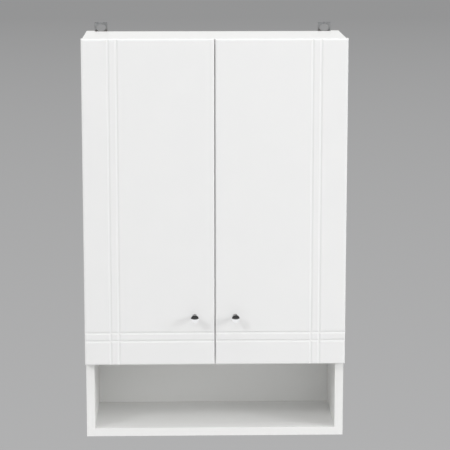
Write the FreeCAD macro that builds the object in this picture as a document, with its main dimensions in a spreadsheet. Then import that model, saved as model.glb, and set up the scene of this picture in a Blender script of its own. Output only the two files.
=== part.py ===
"""Hanging wall cabinet with two doors over an open shelf, as a parametric FreeCAD document.

Frame: +X to the right, +Y into the wall, +Z up, millimetres. The origin lies on the wall plane,
midway between the windows of the two hanger brackets. Every size is a cell of the sheet "dims".
"""
import FreeCAD, Part
import os
import re
import Sketcher

# ---------------------------------------------------------------- driving dimensions
SIZES = {
    # carcass
    "width": 500,              # over both side panels
    "height": 775,             # side panels
    "depth": 200,              # side panels, wall to front edge
    "board": 16,               # thickness of every chipboard panel
    "niche_clear": 132,        # open shelf between bottom and middle panels
    "back_set": 16,            # from the wall to the rear edge of the cross panels
    "back_board": 3,           # hardboard back panel
    "back_play": 0.5,          # back panel to each side panel
    # shelves
    "shelf_set": 22,           # shelf front edge behind the carcass front
    "shelf_play": 1,           # shelf end to each side panel
    "shelf_pin_rad": 2.5,
    "shelf_pin_length": 17,
    "shelf_pin_inset": 37,     # pin rows from the shelf's front and rear edges
    "system_step": 32,         # spacing of the pin holes
    # doors
    "door_thick": 16,
    "door_clear": 3,           # carcass front to door back
    "door_gap": 1.4,           # between the doors
    "door_overhang": 1.25,     # door edge beyond the outer face of the side panel
    "door_top_overhang": 2,    # door top above the carcass top
    "door_round": 3.5,         # rounded front edges
    "door_back_bevel": 1,      # bevel along the hinge side's back edge
    "groove_width": 5.5,
    "groove_sink": 1.3,
    "groove_outer": 50.5,      # first groove from the door's hinge edge
    "groove_lower": 47.5,      # first groove from the door's lower edge
    "groove_pitch": 16,        # between the two grooves of a pair
    # knobs
    "knob_inset": 38.5,         # knob centre from the door's free edge
    "knob_rise": 95,           # knob centre above the door's lower edge
    "knob_head_rad": 8,
    "knob_stem_rad": 3.6,
    "knob_foot_rad": 5.5,
    "knob_foot_thick": 2,
    "knob_reach": 22,
    "knob_head_thick": 8,
    "knob_screw_rad": 2,
    "knob_screw_bite": 9,      # screw length inside the knob
    "knob_screw_head_rad": 4,
    "knob_screw_head": 2.2,
    # hinges
    "hinge_inset": 90,         # hinge centre from the door's upper and lower edges
    "cup_edge": 3,             # cup wall to the door's hinge edge
    "cup_rad": 17.5,
    "cup_sink": 12,
    "cup_wall": 1,
    "cup_flange_half": 30,
    "cup_flange_reach": 13,
    "cup_screw_rise": 24,      # cup screws above and below the cup's centre
    "cup_screw_set": 9.5,      # cup screws behind the cup's centre line
    "pin_inset": 7.5,          # hinge pin from the door's hinge edge
    "pin_sink": 8,             # hinge pin below the door's back face
    "pin_rad": 1.25,
    "eye_rad": 2.4,
    "ear_thick": 2,            # steel ears that hold the pin
    "ear_play": 0.2,           # arm to each ear
    "arm_half": 5.5,
    "arm_thick": 2.2,
    "arm_length": 34,          # arm behind the carcass front
    "plate_thick": 2.5,
    "plate_near": 14,          # mounting plate from the carcass front
    "plate_length": 38,
    "plate_half": 10,
    "wing_half": 22,
    "wing_width": 14,
    # fasteners
    "wood_screw_rad": 2,
    "wood_screw_length": 13,
    "wood_screw_head_rad": 3.6,
    "wood_screw_head": 1.8,
    "joint_screw_rad": 2.5,    # threaded end of the carcass screws
    "joint_screw_neck_rad": 3.5,
    "joint_screw_head_rad": 5,
    "joint_screw_head": 4,
    "joint_screw_neck": 12,
    "joint_screw_length": 50,
    "joint_screw_inset": 40,   # carcass screws from the cross panels' edges
    "cover_cap_rad": 6.5,
    "cover_cap_thick": 1.2,
    "nail_rad": 0.7,
    "nail_length": 20,
    "nail_head_rad": 2,
    "nail_head": 0.8,
    "nail_inset": 30,          # outer nails from the back panel's edges
    # hangers
    "hanger_thick": 2,
    "hanger_ear": 25,          # width of the ear on the wall
    "hanger_rise": 17,         # ear above the carcass top
    "hanger_length": 70,
    "hanger_leg": 12,          # leg along the side panel, from the wall
    "hanger_screw_step": 20,
    "window_width": 18,
    "window_height": 13,
    "window_bar": 4.5,         # ear above the window
    # soft stops and fits
    "bumper_rad": 4,
    "bumper_inset": 14,        # from the door's free edge
    "bumper_play": 0.2,
    "hole_play": 0.05,         # radial play of every fastener in its hole
    "hole_depth_play": 1,      # blind holes deeper than what they hold
}

# head of the knob, from its neck to its crown: shares of the head's radius and thickness
KNOB_CROWN = ((0.9, 0.2), (1, 0.45), (0.9, 0.75), (0.5, 0.95))

# ---------------------------------------------------------------- derived places, as expressions
INNER = "(width - 2*board)"
PANEL_DEPTH = "(depth - back_set)"
HANG = "(hanger_rise - window_bar - window_height/2)"    # origin above the carcass top
FLOOR = f"(-{HANG} - height)"                           # underside of the carcass
MIDDLE = f"({FLOOR} + board + niche_clear)"             # underside of the middle panel
TOP = f"(-{HANG})"                                      # top of the carcass
DOOR_WIDTH = "(width/2 + door_overhang - door_gap/2)"
DOOR_HEIGHT = "(height - board - niche_clear + door_top_overhang)"
DOOR_BACK = "(-depth - door_clear)"
CUP_AT = "(cup_edge + cup_rad)"                         # cup centre from the hinge edge
SIDE_INNER = "(door_overhang + board)"                  # side's inner face from the hinge edge
SHELF_DEPTH = f"({PANEL_DEPTH} - shelf_set)"
GROOVE_RAD = "((groove_width*groove_width/4 + groove_sink*groove_sink) / (2*groove_sink))"

doc = FreeCAD.newDocument("wall_cabinet")
sheet = doc.addObject("Spreadsheet::Sheet", "dims")
for row, (alias, value) in enumerate(SIZES.items(), start=1):
    sheet.set(f"A{row}", alias)
    sheet.set(f"B{row}", str(value))
    sheet.setAlias(f"B{row}", alias)
doc.recompute()

WORD = re.compile(r"\b(" + "|".join(sorted(SIZES, key=len, reverse=True)) + r")\b")
subparts = []


def cells(text):
    """The same expression with every alias written as a cell of the sheet."""
    return WORD.sub(r"dims.\1", str(text))


def value(text):
    """The number that an expression has now."""
    return float(sheet.evalExpression(cells(text)))


def bind(thing, **properties):
    """Tie properties of a document object to expressions."""
    for name, text in properties.items():
        thing.setExpression(name, cells(text))
    return thing


def place(thing, x="0", y="0", z="0"):
    """Tie the object's position to expressions."""
    for axis, text in zip("xyz", (x, y, z)):
        thing.setExpression(f"Placement.Base.{axis}", cells(text))
    return thing


def subpart(thing, label):
    """Register a finished piece under its plain name."""
    thing.Label = label
    subparts.append(thing)
    return thing


def box(name, length, width, height, x="0", y="0", z="0"):
    """A block with its low corner at x, y, z."""
    block = doc.addObject("Part::Box", name)
    bind(block, Length=length, Width=width, Height=height)
    return place(block, x, y, z)


TURNS = {
    "+X": FreeCAD.Rotation(FreeCAD.Vector(0, 1, 0), 90),
    "-X": FreeCAD.Rotation(FreeCAD.Vector(0, 1, 0), -90),
    "+Y": FreeCAD.Rotation(FreeCAD.Vector(1, 0, 0), -90),
    "-Y": FreeCAD.Rotation(FreeCAD.Vector(1, 0, 0), 90),
    "+Z": FreeCAD.Rotation(),
}


def rod(name, radius, length, x="0", y="0", z="0", way="+Z"):
    """A cylinder that starts at x, y, z and runs along way."""
    cylinder = doc.addObject("Part::Cylinder", name)
    bind(cylinder, Radius=radius, Height=length)
    cylinder.Placement.Rotation = TURNS[way]
    return place(cylinder, x, y, z)


def cut(name, base, tools):
    """The base less every tool."""
    drilled = doc.addObject("Part::Cut", name)
    drilled.Base = base
    drilled.Tool = tools[0] if len(tools) == 1 else group(f"{name}_tools", tools)
    return drilled


def group(name, pieces):
    """Separate solids kept together, such as identical fasteners."""
    bundle = doc.addObject("Part::Compound", name)
    bundle.Links = pieces
    return bundle


def fuse(name, pieces):
    """Pieces welded into one solid."""
    joined = doc.addObject("Part::MultiFuse", name)
    joined.Shapes = pieces
    joined.Refine = True
    return joined


# ---------------------------------------------------------------- sketches
def sketch(body, role, name):
    """An empty sketch on one of the body's own origin planes."""
    drawing = body.newObject("Sketcher::SketchObject", name)
    plane = [feature for feature in body.Origin.OriginFeatures if feature.Role == role][0]
    drawing.AttachmentSupport = [(plane, "")]
    drawing.MapMode = "FlatFace"
    return drawing


def tie(drawing, kind, places, text):
    """A named distance whose value follows an expression."""
    index = drawing.addConstraint(Sketcher.Constraint(kind, *places, value(text)))
    name = f"{kind.lower()}_{index}"
    drawing.renameConstraint(index, name)
    drawing.setExpression(f"Constraints.{name}", cells(text))


def outline(drawing, points):
    """A closed outline of straight edges through points given as pairs of expressions."""
    corners = [FreeCAD.Vector(value(across), value(up), 0) for across, up in points]
    first = drawing.GeometryCount
    total = len(corners)
    for index in range(total):
        drawing.addGeometry(Part.LineSegment(corners[index], corners[(index + 1) % total]), False)
    for index in range(total):
        following = first + (index + 1) % total
        drawing.addConstraint(Sketcher.Constraint("Coincident", first + index, 2, following, 1))
    for index, (across, up) in enumerate(points):
        tie(drawing, "DistanceX", (-1, 1, first + index, 1), across)
        tie(drawing, "DistanceY", (-1, 1, first + index, 1), up)


def circle(drawing, across, up, radius):
    """A circle whose centre and radius follow expressions."""
    centre = FreeCAD.Vector(value(across), value(up), 0)
    index = drawing.addGeometry(Part.Circle(centre, FreeCAD.Vector(0, 0, 1), value(radius)), False)
    tie(drawing, "DistanceX", (-1, 1, index, 3), across)
    tie(drawing, "DistanceY", (-1, 1, index, 3), up)
    tie(drawing, "Radius", (index,), radius)


def rectangle(drawing, left, low, right, high):
    """A closed rectangle between two corners."""
    outline(drawing, [(left, low), (right, low), (right, high), (left, high)])


def pad(body, drawing, name, length):
    """A pad on the drawing's own side."""
    feature = body.newObject("PartDesign::Pad", name)
    feature.Profile = drawing
    return bind(feature, Length=length)


def pocket(body, drawing, name, depth=None, backwards=False):
    """A pocket of the given depth, or right through both ways when there is none."""
    before = body.Shape.Volume
    feature = body.newObject("PartDesign::Pocket", name)
    feature.Profile = drawing
    if depth is None:
        feature.SideType = "Symmetric"
        feature.Type = "ThroughAll"
    else:
        feature.Reversed = backwards
        bind(feature, Length=depth)
    doc.recompute()
    if not body.Shape.Volume < before:
        raise ValueError(f"{name} cuts nothing")
    return feature


TOUCH = 1e-4                                            # edges closer than this are the same place


def dress(body, kind, name, size_name, size, chosen):
    """A fillet or chamfer on the edges whose bounding boxes pass the test."""
    doc.recompute()
    tip = body.Tip
    edges = [f"Edge{index}" for index, edge in enumerate(tip.Shape.Edges, start=1)
             if chosen(edge.BoundBox)]
    feature = body.newObject(f"PartDesign::{kind}", name)
    feature.Base = (tip, edges)
    bind(feature, **{size_name: size})
    doc.recompute()
    return feature


# ---------------------------------------------------------------- fastener patterns
CROSS_PANELS = {
    "bottom": FLOOR,
    "middle": MIDDLE,
    "top": f"({TOP} - board)",
}
SIDES = {"left": -1, "right": 1}
HINGES = {
    "lower": f"({MIDDLE} + hinge_inset)",
    "upper": f"({MIDDLE} + {DOOR_HEIGHT} - hinge_inset)",
}
SHELF_STEPS = {"lower": 5, "upper": 10}                 # pin hole that each shelf lies on
PIN_HOLES = range(3, 13)                                # drilled holes, counted up from the middle panel
CONFIRM_ROWS = (f"(-back_set - joint_screw_inset)", f"(-depth + joint_screw_inset)")
PIN_ROWS = (
    "(-depth + shelf_set + shelf_pin_inset)",
    "(-back_set - shelf_pin_inset)",
)


def inner_face(sign):
    """X of the side panel's inner face on the left (-1) or right (1)."""
    return f"({sign} * (width/2 - board))"


def outer_face(sign):
    """X of a side panel's outer face."""
    return f"({sign} * width/2)"


def pin_height(step):
    """Z of a shelf pin hole's axis."""
    return f"({MIDDLE} + board + {step} * system_step)"


def hanger_screw_heights():
    """Heights of a hanger's screws."""
    return [f"({TOP} - {step} * hanger_screw_step)" for step in (1, 2)]


def inward(sign):
    """The direction from a side panel into the cabinet."""
    return "+X" if sign < 0 else "-X"


def outward(sign):
    """The way from a side panel out of the carcass, as a rod's direction."""
    return "-X" if sign < 0 else "+X"


# ---------------------------------------------------------------- carcass
def side_panel(side, sign):
    """A full-depth side with its blind holes and the stepped holes of the carcass screws."""
    low = "-width/2" if sign < 0 else "width/2 - board"
    blank = box(f"side_blank_{side}", "board", "depth", "height", low, "-depth", FLOOR)
    holes = []
    way = outward(sign)
    for panel, height in CROSS_PANELS.items():
        middle = f"{height} + board/2"
        for row, place_y in enumerate(CONFIRM_ROWS):
            steps = (("neck", "joint_screw_neck_rad", "joint_screw_neck"),
                     ("head", "joint_screw_head_rad", "joint_screw_head"),
                     ("core", "joint_screw_rad", "board"))
            for step, radius, length in steps:
                hole = rod(f"{side}_{panel}_{row}_{step}_hole", f"{radius} + hole_play", length,
                           outer_face(sign), place_y, middle, inward(sign))
                holes.append(hole)
    for step in PIN_HOLES:
        for row, place_y in enumerate(PIN_ROWS):
            holes.append(rod(f"{side}_pin_hole_{step}_{row}", "shelf_pin_rad + hole_play",
                             "shelf_pin_length/2 + hole_depth_play",
                             inner_face(sign), place_y, pin_height(step), way))
    for hinge, height in HINGES.items():
        for part, turn in (("low", -1), ("high", 1)):
            holes.append(rod(f"{side}_{hinge}_{part}_plate_hole", "wood_screw_rad + hole_play",
                             "wood_screw_length",
                             inner_face(sign), WING_AT, f"{height} + {turn} * system_step/2", way))
    for index, height in enumerate(hanger_screw_heights()):
        holes.append(rod(f"{side}_hanger_hole_{index}", "wood_screw_rad + hole_play",
                         "wood_screw_length", inner_face(sign), "-hanger_leg/2", height, way))
    subpart(cut(f"side_{side}", blank, holes), f"side_panel_{side}")


WING_AT = "(-depth + plate_near + plate_length - wing_width/2)"


def cross_panel(name, height):
    """A panel between the sides, bored for the carcass screws and the back panel's nails."""
    blank = box(f"{name}_blank", INNER, PANEL_DEPTH, "board", f"-{INNER}/2", "-depth", height)
    holes = []
    for side, sign in SIDES.items():
        for row, place_y in enumerate(CONFIRM_ROWS):
            holes.append(rod(f"{name}_{side}_{row}_screw_hole", "joint_screw_rad + hole_play",
                             "joint_screw_length - board + hole_depth_play",
                             inner_face(sign), place_y, f"{height} + board/2", inward(sign)))
    for index, place_x in enumerate(NAIL_ROW):
        holes.append(rod(f"{name}_nail_hole_{index}", "nail_rad + hole_play",
                         "nail_length + hole_depth_play",
                         place_x, "-back_set", f"{height} + board/2", "-Y"))
    subpart(cut(f"{name}_panel_drilled", blank, holes), f"{name}_panel")


NAIL_ROW = [f"({step} * ({INNER}/2 - nail_inset))" for step in (-1, "-1/3", "1/3", 1)]


def back_panel():
    """Hardboard nailed on the rear edges of the cross panels, between the sides."""
    blank = box("back_blank", f"{INNER} - 2*back_play", "back_board", "height - 2*back_play",
                f"-{INNER}/2 + back_play", "-back_set", f"{FLOOR} + back_play")
    holes = []
    for name, height in CROSS_PANELS.items():
        for index, place_x in enumerate(NAIL_ROW):
            holes.append(rod(f"back_{name}_nail_hole_{index}", "nail_rad + hole_play", "back_board",
                             place_x, "-back_set + back_board", f"{height} + board/2", "-Y"))
    subpart(cut("back_drilled", blank, holes), "back_panel")


def nails():
    """Flat-headed nails through the back panel."""
    pieces = []
    for name, height in CROSS_PANELS.items():
        for index, place_x in enumerate(NAIL_ROW):
            tag = f"nail_{name}_{index}"
            middle = f"{height} + board/2"
            shank = rod(f"{tag}_shank", "nail_rad", "nail_length",
                        place_x, "-back_set + back_board", middle, "-Y")
            head = rod(f"{tag}_head", "nail_head_rad", "nail_head",
                       place_x, "-back_set + back_board", middle, "+Y")
            pieces.append(fuse(tag, [shank, head]))
    subpart(group("nail_set", pieces), "back_panel_nails")


def carcass_screws():
    """Stepped screws through the sides into the cross panels, and their cover caps."""
    screws = []
    caps = []
    for side, sign in SIDES.items():
        for name, height in CROSS_PANELS.items():
            for row, place_y in enumerate(CONFIRM_ROWS):
                tag = f"{side}_{name}_{row}"
                where = (outer_face(sign), place_y, f"{height} + board/2", inward(sign))
                core = rod(f"{tag}_core", "joint_screw_rad", "joint_screw_length", *where)
                neck = rod(f"{tag}_neck", "joint_screw_neck_rad", "joint_screw_neck", *where)
                head = rod(f"{tag}_head", "joint_screw_head_rad", "joint_screw_head", *where)
                screws.append(fuse(f"{tag}_screw", [core, neck, head]))
                caps.append(rod(f"{tag}_cap", "cover_cap_rad", "cover_cap_thick",
                                outer_face(sign), place_y, f"{height} + board/2", outward(sign)))
    subpart(group("joint_screw_set", screws), "carcass_screws")
    subpart(group("cap_set", caps), "screw_cover_caps")


def shelf(name, step):
    """A loose shelf lying on four pins."""
    subpart(box(f"shelf_board_{name}", f"{INNER} - 2*shelf_play", SHELF_DEPTH, "board",
                f"-{INNER}/2 + shelf_play", "-depth + shelf_set",
                f"{pin_height(step)} + shelf_pin_rad"), f"shelf_{name}")


def shelf_pins():
    """Four pins under each shelf, half of each in the side panel."""
    pins = []
    for name, step in SHELF_STEPS.items():
        for side, sign in SIDES.items():
            for row, place_y in enumerate(PIN_ROWS):
                start = f"{inner_face(sign)} + {sign} * shelf_pin_length/2"
                pins.append(rod(f"pin_{name}_{side}_{row}", "shelf_pin_rad", "shelf_pin_length",
                                start, place_y, pin_height(step), inward(sign)))
    subpart(group("pin_set", pins), "shelf_pins")


# ---------------------------------------------------------------- hangers
def hanger(side, sign):
    """An angle bracket: a leg on the side panel and an ear with a window on the wall."""
    body = doc.addObject("PartDesign::Body", f"hanger_body_{side}")
    ear_base = f"{TOP} + hanger_rise - hanger_length"
    ear = sketch(body, "XZ_Plane", f"ear_outline_{side}")
    inner, far = inner_face(sign), f"({inner_face(sign)} - {sign} * hanger_ear)"
    left, right = (inner, far) if sign < 0 else (far, inner)
    rectangle(ear, left, ear_base, right, f"{TOP} + hanger_rise")
    pad(body, ear, f"ear_{side}", "hanger_thick")
    leg = sketch(body, "XZ_Plane", f"leg_outline_{side}")
    leg_far = f"({inner_face(sign)} - {sign} * hanger_thick)"
    left, right = (inner, leg_far) if sign < 0 else (leg_far, inner)
    rectangle(leg, left, ear_base, right, TOP)
    pad(body, leg, f"leg_{side}", "hanger_leg")
    doc.recompute()
    centre = f"({inner_face(sign)} - {sign} * hanger_ear/2)"
    half_flat = "((window_width - window_height)/2)"
    window = sketch(body, "XZ_Plane", f"window_outline_{side}")
    rectangle(window, f"{centre} - {half_flat}", "-window_height/2",
              f"{centre} + {half_flat}", "window_height/2")
    pocket(body, window, f"window_{side}")
    for name, turn in (("left", -1), ("right", 1)):
        end = sketch(body, "XZ_Plane", f"window_{name}_end_outline_{side}")
        circle(end, f"{centre} + {turn} * {half_flat}", "0", "window_height/2")
        pocket(body, end, f"window_{name}_end_{side}")
    bores = sketch(body, "YZ_Plane", f"bore_outline_{side}")
    for height in hanger_screw_heights():
        circle(bores, "-hanger_leg/2", height, "wood_screw_rad + hole_play")
    pocket(body, bores, f"bores_{side}")
    subpart(body, f"hanger_bracket_{side}")


def wood_screw(tag, radius, length, x, y, z, way, back_way):
    """A wood screw with a low head: the shank runs along way from the head's underside."""
    shank = rod(f"{tag}_shank", radius, length, x, y, z, way)
    head = rod(f"{tag}_head", "wood_screw_head_rad", "wood_screw_head", x, y, z, back_way)
    return fuse(tag, [shank, head])


def hanger_screws():
    """Two screws through each hanger's leg into the side panel."""
    screws = []
    for side, sign in SIDES.items():
        for index, height in enumerate(hanger_screw_heights()):
            screws.append(wood_screw(f"hanger_screw_{side}_{index}", "wood_screw_rad",
                                     "wood_screw_length",
                                     f"{inner_face(sign)} - {sign} * hanger_thick",
                                     "-hanger_leg/2", height, outward(sign), inward(sign)))
    subpart(group("hanger_screw_set", screws), "hanger_screws")


# ---------------------------------------------------------------- doors
def from_hinge_edge(sign, text):
    """Local X on a door, measured from its hinge edge."""
    return f"({text})" if sign < 0 else f"({DOOR_WIDTH} - ({text}))"


def from_free_edge(sign, text):
    """Distance across a door, measured from its free edge."""
    return from_hinge_edge(-sign, text)


def door(side, sign):
    """A door leaf: rounded front edges, two crossing pairs of coved grooves and its bores."""
    body = doc.addObject("PartDesign::Body", f"door_body_{side}")
    leaf = sketch(body, "XZ_Plane", f"leaf_outline_{side}")
    rectangle(leaf, "0", "0", DOOR_WIDTH, DOOR_HEIGHT)
    pad(body, leaf, f"leaf_{side}", "door_thick")
    front = value("-door_thick")
    dress(body, "Fillet", f"round_{side}", "Radius", "door_round",
          lambda room: abs(room.YMin - front) + room.YLength < TOUCH)
    hinge_edge = value(from_hinge_edge(sign, "0"))
    dress(body, "Chamfer", f"back_bevel_{side}", "Size", "door_back_bevel",
          lambda room: abs(room.YMax) + room.YLength + abs(room.XMin - hinge_edge) + room.XLength < TOUCH)
    centre_out = f"(-door_thick + groove_sink - {GROOVE_RAD})"
    upright = sketch(body, "XY_Plane", f"upright_groove_outline_{side}")
    for step in (0, 1):
        circle(upright, from_hinge_edge(sign, f"groove_outer + {step} * groove_pitch"),
               centre_out, GROOVE_RAD)
    pocket(body, upright, f"upright_grooves_{side}")
    level = sketch(body, "YZ_Plane", f"level_groove_outline_{side}")
    for step in (0, 1):
        circle(level, centre_out, f"groove_lower + {step} * groove_pitch", GROOVE_RAD)
    pocket(body, level, f"level_grooves_{side}")
    cups = sketch(body, "XZ_Plane", f"cup_bore_outline_{side}")
    pilots = sketch(body, "XZ_Plane", f"cup_screw_outline_{side}")
    for height in ("hinge_inset", f"({DOOR_HEIGHT} - hinge_inset)"):
        circle(cups, from_hinge_edge(sign, CUP_AT), height, "cup_rad + hole_play")
        for turn in (-1, 1):
            circle(pilots, from_hinge_edge(sign, f"{CUP_AT} + cup_screw_set"),
                   f"{height} + {turn} * cup_screw_rise", "wood_screw_rad + hole_play")
    pocket(body, cups, f"cup_bores_{side}", "cup_sink + hole_play", backwards=True)
    pocket(body, pilots, f"cup_screw_bores_{side}", "wood_screw_length", backwards=True)
    knob_bore = sketch(body, "XZ_Plane", f"knob_bore_outline_{side}")
    circle(knob_bore, from_free_edge(sign, "knob_inset"), "knob_rise", "knob_screw_rad + hole_play")
    pocket(body, knob_bore, f"knob_bore_{side}")
    place(body, door_left(sign), DOOR_BACK, MIDDLE)
    subpart(body, f"door_{side}")


def door_left(sign):
    """X of a door's low corner."""
    return f"(-{DOOR_WIDTH} - door_gap/2)" if sign < 0 else "(door_gap/2)"


def door_x(sign, text):
    """X in the cabinet's frame of a distance from a door's hinge edge."""
    return f"({sign} * ({DOOR_WIDTH} + door_gap/2) - {sign} * ({text}))"


def knob(side, sign):
    """A turned knob: foot, waisted stem and domed head, bored for its screw."""
    body = doc.addObject("PartDesign::Body", f"knob_body_{side}")
    profile = sketch(body, "XY_Plane", f"knob_profile_{side}")
    waist = "(knob_reach - knob_head_thick)"
    bite = "(knob_screw_bite + hole_depth_play)"
    bore = "(knob_screw_rad + hole_play)"
    outline(profile, [
        (bore, "0"),
        ("knob_foot_rad", "0"),
        ("knob_foot_rad", "-knob_foot_thick"),
        ("knob_stem_rad", "-knob_foot_thick - knob_stem_rad/2"),
        ("knob_stem_rad", f"-{waist} + knob_stem_rad/2"),
        *((f"knob_head_rad*{out}", f"-{waist} - knob_head_thick*{along}") for out, along in KNOB_CROWN),
        ("0", "-knob_reach"),
        ("0", f"-{bite}"),
        (bore, f"-{bite}"),
    ])
    turning = body.newObject("PartDesign::Revolution", f"knob_turning_{side}")
    turning.Profile = profile
    turning.ReferenceAxis = (profile, ["V_Axis"])
    turning.Angle = 360
    knob_x = door_x(sign, f"{DOOR_WIDTH} - knob_inset")
    place(body, knob_x, f"{DOOR_BACK} - door_thick", f"{MIDDLE} + knob_rise")
    subpart(body, f"knob_{side}")
    shank = rod(f"knob_screw_shank_{side}", "knob_screw_rad", "door_thick + knob_screw_bite",
                knob_x, DOOR_BACK, f"{MIDDLE} + knob_rise", "-Y")
    head = rod(f"knob_screw_head_{side}", "knob_screw_head_rad", "knob_screw_head",
               knob_x, DOOR_BACK, f"{MIDDLE} + knob_rise", "+Y")
    subpart(fuse(f"knob_screw_body_{side}", [shank, head]), f"knob_screw_{side}")


def bumpers(side, sign):
    """Two soft discs on the door's back that meet the top and middle panels."""
    discs = []
    for name in ("middle", "top"):
        discs.append(rod(f"bumper_{side}_{name}", "bumper_rad", "door_clear - bumper_play",
                         door_x(sign, f"{DOOR_WIDTH} - bumper_inset"), DOOR_BACK,
                         f"{CROSS_PANELS[name]} + board/2", "+Y"))
    subpart(group(f"bumper_set_{side}", discs), f"door_bumpers_{side}")


# ---------------------------------------------------------------- hinges
def hinge(side, sign, name, height):
    """A cup in the door and a curved arm on a plate inside the cabinet, joined by one pin."""
    tag = f"{side}_{name}"
    cup_x = door_x(sign, CUP_AT)
    pin_x = door_x(sign, "pin_inset")
    pin_y = f"({DOOR_BACK} - pin_sink)"
    # cup: a turned shell, a flange on the door's back face and two ears that hold the pin
    shell = rod(f"cup_outer_{tag}", "cup_rad", "cup_sink", cup_x, DOOR_BACK, height, "-Y")
    flange_low = door_x(sign, f"{CUP_AT} - {sign} * cup_flange_reach")
    flange = box(f"cup_flange_{tag}", "2*cup_flange_reach", "cup_wall", "2*cup_flange_half",
                 f"{cup_x} - cup_flange_reach", DOOR_BACK, f"{height} - cup_flange_half")
    hollow = rod(f"cup_hollow_{tag}", "cup_rad - cup_wall", "cup_sink",
                 cup_x, f"{DOOR_BACK} + cup_wall", height, "-Y")
    screw_x = door_x(sign, f"{CUP_AT} + cup_screw_set")
    flange_holes = [rod(f"flange_hole_{tag}_{turn + 1}", "wood_screw_rad + hole_play", "cup_wall",
                        screw_x, DOOR_BACK, f"{height} + {turn} * cup_screw_rise", "+Y")
                    for turn in (-1, 1)]
    open_cup = cut(f"open_cup_{tag}", fuse(f"cup_solid_{tag}", [shell, flange]),
                   [hollow] + flange_holes)
    ear_low = door_x(sign, "cup_edge") if sign < 0 else door_x(sign, "2*pin_inset")
    ears = []
    for turn, start in ((-1, "-arm_half - ear_play - ear_thick"), (1, "arm_half + ear_play")):
        block = box(f"ear_{tag}_{turn + 1}", "2*pin_inset - cup_edge", "pin_sink + eye_rad",
                    "ear_thick", ear_low, f"{DOOR_BACK} - cup_sink + cup_wall/2",
                    f"{height} + {start}")
        inside = doc.addObject("Part::Common", f"ear_inside_{tag}_{turn + 1}")
        inside.Base = block
        inside.Tool = rod(f"ear_bound_{tag}_{turn + 1}", "cup_rad - cup_wall/2", "cup_sink",
                          cup_x, DOOR_BACK, height, "-Y")
        ears.append(inside)
    reach = "(arm_half + ear_play + ear_thick)"
    pin_bore = rod(f"pin_bore_{tag}", "pin_rad", f"2*{reach}", pin_x, pin_y, f"{height} - {reach}")
    cup = cut(f"cup_{tag}", fuse(f"cup_with_ears_{tag}", [open_cup] + ears), [pin_bore])
    subpart(cup, f"hinge_cup_{tag}")
    subpart(rod(f"pin_{tag}", "pin_rad", f"2*{reach}", pin_x, pin_y, f"{height} - {reach}"),
            f"hinge_pin_{tag}")
    # arm: eye round the pin, a web into the cup's mouth and a strip along the side panel
    near, far = f"({SIDE_INNER} + plate_thick)", f"({SIDE_INNER} + plate_thick + arm_thick)"
    strip_low = door_x(sign, near if sign < 0 else far)
    web_low = door_x(sign, "pin_inset") if sign < 0 else door_x(sign, far)
    low = f"{height} - arm_half"
    eye = rod(f"eye_{tag}", "eye_rad", "2*arm_half", pin_x, pin_y, low)
    web = box(f"web_{tag}", f"{far} - pin_inset", "arm_thick", "2*arm_half",
              web_low, f"{pin_y} - arm_thick/2", low)
    strip = box(f"strip_{tag}", "arm_thick", "door_clear + pin_sink + arm_thick/2 + arm_length",
                "2*arm_half", strip_low, f"{pin_y} - arm_thick/2", low)
    eye_bore = rod(f"eye_bore_{tag}", "pin_rad + hole_play", "2*arm_half", pin_x, pin_y, low)
    screw_hole = rod(f"arm_hole_{tag}", "wood_screw_rad + hole_play", "2*arm_thick",
                     door_x(sign, f"{near} - arm_thick/2"), ARM_SCREW_AT, height, inward(sign))
    arm = cut(f"arm_{tag}", fuse(f"arm_solid_{tag}", [eye, web, strip]), [eye_bore, screw_hole])
    subpart(arm, f"hinge_arm_{tag}")
    # mounting plate: a spine under the arm with two screwed wings
    plate_low = door_x(sign, SIDE_INNER if sign < 0 else near)
    spine = box(f"spine_{tag}", "plate_thick", "plate_length", "2*plate_half",
                plate_low, "-depth + plate_near", f"{height} - plate_half")
    wings = box(f"wings_{tag}", "plate_thick", "wing_width", "2*wing_half",
                plate_low, f"{WING_AT} - wing_width/2", f"{height} - wing_half")
    holes = [rod(f"wing_hole_{tag}_{turn + 1}", "wood_screw_rad + hole_play", "plate_thick",
                 inner_face(sign), WING_AT, f"{height} + {turn} * system_step/2", inward(sign))
             for turn in (-1, 1)]
    holes.append(rod(f"plate_tap_{tag}", "wood_screw_rad + hole_play", "plate_thick",
                     inner_face(sign), ARM_SCREW_AT, height, inward(sign)))
    subpart(cut(f"plate_{tag}", fuse(f"plate_solid_{tag}", [spine, wings]), holes),
            f"hinge_plate_{tag}")


ARM_SCREW_AT = "(-depth + plate_near + plate_length/4)"


def hinge_screws():
    """Screws of the mounting plates, the arms and the cups."""
    plate_screws = []
    arm_screws = []
    for side, sign in SIDES.items():
        cup_screws = []
        for name, height in HINGES.items():
            tag = f"{side}_{name}"
            for turn in (-1, 1):
                plate_screws.append(wood_screw(
                    f"plate_screw_{tag}_{turn + 1}", "wood_screw_rad",
                    "wood_screw_length", f"{inner_face(sign)} - {sign} * plate_thick", WING_AT,
                    f"{height} + {turn} * system_step/2", outward(sign), inward(sign)))
                cup_screws.append(wood_screw(
                    f"cup_screw_{tag}_{turn + 1}", "wood_screw_rad", "wood_screw_length",
                    door_x(sign, f"{CUP_AT} + cup_screw_set"), f"{DOOR_BACK} + cup_wall",
                    f"{height} + {turn} * cup_screw_rise", "-Y", "+Y"))
            arm_screws.append(wood_screw(
                f"arm_screw_{tag}", "wood_screw_rad", "plate_thick + arm_thick",
                f"{inner_face(sign)} - {sign} * (plate_thick + arm_thick)", ARM_SCREW_AT, height,
                outward(sign), inward(sign)))
        subpart(group(f"cup_screw_set_{side}", cup_screws), f"hinge_cup_screws_{side}")
    subpart(group("plate_screw_set", plate_screws), "hinge_plate_screws")
    subpart(group("arm_screw_set", arm_screws), "hinge_arm_screws")


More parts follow.
